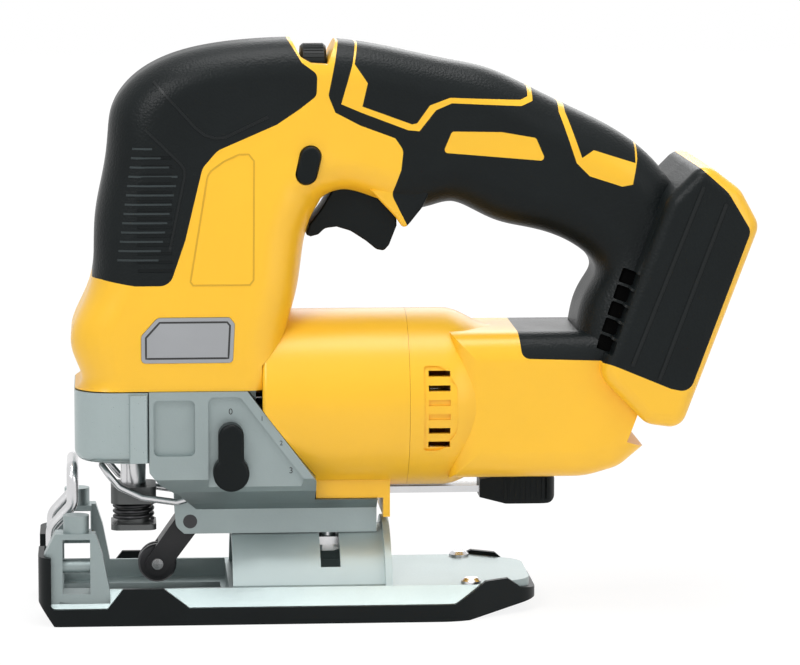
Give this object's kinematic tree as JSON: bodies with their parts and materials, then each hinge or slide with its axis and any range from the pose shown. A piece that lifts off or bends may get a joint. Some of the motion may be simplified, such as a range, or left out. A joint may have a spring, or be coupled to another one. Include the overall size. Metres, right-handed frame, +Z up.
{
  "type": "cordless jigsaw",
  "caption": "Top-handle cordless jigsaw, bare tool, with soft grips, trigger, orbit selector, tilting shoe, wire guards, blade clamp, motor and gears inside.",
  "frame": {"origin": "on the flat sole of the shoe, on the saw's middle plane, under the motor barrel's front", "axes": "+X back to the battery foot, so the saw cuts towards -X; +Y to the saw's right; +Z up from the sole"},
  "size_m": [0.2511, 0.076, 0.2021],
  "materials": {
    "casing_yellow": "smooth moulded yellow nylon",
    "soft_grip": "black soft overmould",
    "black_plastic": "black moulded nylon",
    "cast_aluminium": "die cast, lightly textured",
    "pressed_aluminium": "smooth pressed sheet",
    "satin_metal": "satin painted die casting",
    "steel": "bright steel",
    "dark_steel": "blackened steel",
    "bronze": "sintered bronze",
    "copper": "enamelled copper wire"
  },
  "bodies": {
    "saw": {"battery_terminals": "bronze", "bearing_plate": "cast_aluminium", "bevel_bolt": "steel", "bevel_clamp_plate": "steel", "control_module": "black_plastic", "dial_potentiometer": "black_plastic", "finger_guard": "steel", "front_grip_left": "soft_grip", "front_grip_right": "soft_grip", "gear_axle": "steel", "gear_case": "cast_aluminium", "handle_pads_left": "soft_grip", "handle_pads_right": "soft_grip", "housing_left": "casing_yellow", "housing_right": "casing_yellow", "housing_screws": "steel", "main_grip_left": "soft_grip", "main_grip_right": "soft_grip", "motor_front_bearing": "steel", "motor_rear_bearing": "steel", "motor_sleeve": "casing_yellow", "plunger_bush_lower": "bronze", "plunger_bush_upper": "bronze", "roller_pivot_pin": "steel", "side_badges": "pressed_aluminium", "stator": "dark_steel", "stator_windings": "copper", "switch_module": "black_plastic", "terminal_block": "black_plastic"},
    "trigger": {"trigger": "black_plastic"},
    "lock": {"lock_button": "black_plastic"},
    "dial": {"speed_dial": "black_plastic"},
    "orbit_selector": {"orbit_lever": "black_plastic", "orbit_shaft": "steel"},
    "release": {"blade_release_lever": "satin_metal"},
    "plunger": {"plunger_rod": "steel", "scotch_yoke": "steel", "crank_pin": "steel", "crank_roller": "steel", "blade_clamp": "dark_steel", "clamp_spring": "steel"},
    "fork": {"roller_fork": "dark_steel", "roller_axle": "steel"},
    "roller": {"guide_roller": "dark_steel"},
    "shoe": {"shoe_plate": "cast_aluminium", "shoe_cover": "black_plastic", "bevel_bracket": "pressed_aluminium", "shoe_screws": "steel", "front_guard": "steel"},
    "bevel_handle": {"bevel_lever": "steel", "bevel_lever_grip": "black_plastic"},
    "rotor": {"rotor_shaft": "steel", "rotor_core": "dark_steel", "cooling_fan": "black_plastic"},
    "crank": {"crank_gear": "steel", "gear_bush": "bronze", "counterweight": "steel"}
  },
  "joints": [
    {"name": "trigger_pull", "type": "slide", "parent": "saw", "child": "trigger", "axis": [0.3875, 0, 0.9219], "range_m": [0, 0.006], "stiffness_N_per_m": 700, "springref_m": -0.002},
    {"name": "lock_push", "type": "slide", "parent": "saw", "child": "lock", "axis": [0, 1, 0], "range_m": [-0.0025, 0.0025]},
    {"name": "dial_turn", "type": "hinge", "parent": "saw", "child": "dial", "pos_m": [0.0092, 0, 0.19], "axis": [1, 0, 0], "range_deg": [-120, 120]},
    {"name": "orbit_select", "type": "hinge", "parent": "saw", "child": "orbit_selector", "pos_m": [-0.0211, -0.03, 0.0525], "axis": [0, 1, 0], "range_deg": [0, 90]},
    {"name": "blade_release", "type": "hinge", "parent": "saw", "child": "release", "pos_m": [-0.055, 0, 0.068], "axis": [0, 0, 1], "range_deg": [-45, 0], "stiffness_Nm_per_rad": 0.3, "springref_deg": 11.46},
    {"name": "plunger_stroke", "type": "slide", "parent": "saw", "child": "plunger", "axis": [0, 0, 1], "range_m": [-0.004, 0.0214]},
    {"name": "fork_swing", "type": "hinge", "parent": "saw", "child": "fork", "pos_m": [-0.0351, 0, 0.0317], "axis": [0, 1, 0], "range_deg": [-3, 3]},
    {"name": "roller_spin", "type": "hinge", "parent": "fork", "child": "roller", "pos_m": [-0.0467, 0, 0.0158], "axis": [0, 1, 0], "continuous": true},
    {"name": "shoe_bevel", "type": "hinge", "parent": "saw", "child": "shoe", "pos_m": [0, 0, 0], "axis": [1, 0, 0], "range_deg": [-45, 45]},
    {"name": "bevel_clamp", "type": "hinge", "parent": "saw", "child": "bevel_handle", "pos_m": [0.014, 0, 0.0415], "axis": [0, 0, 1], "range_deg": [0, 50]},
    {"name": "rotor_spin", "type": "hinge", "parent": "saw", "child": "rotor", "pos_m": [0.03, 0, 0.0745], "axis": [1, 0, 0], "continuous": true},
    {"name": "gear_spin", "type": "hinge", "parent": "saw", "child": "crank", "pos_m": [-0.028, 0, 0.0955], "axis": [1, 0, 0], "continuous": true}
  ],
  "couplings": [
    {"joint": "gear_spin", "follows": "rotor_spin", "ratio": -0.16667}
  ]
}
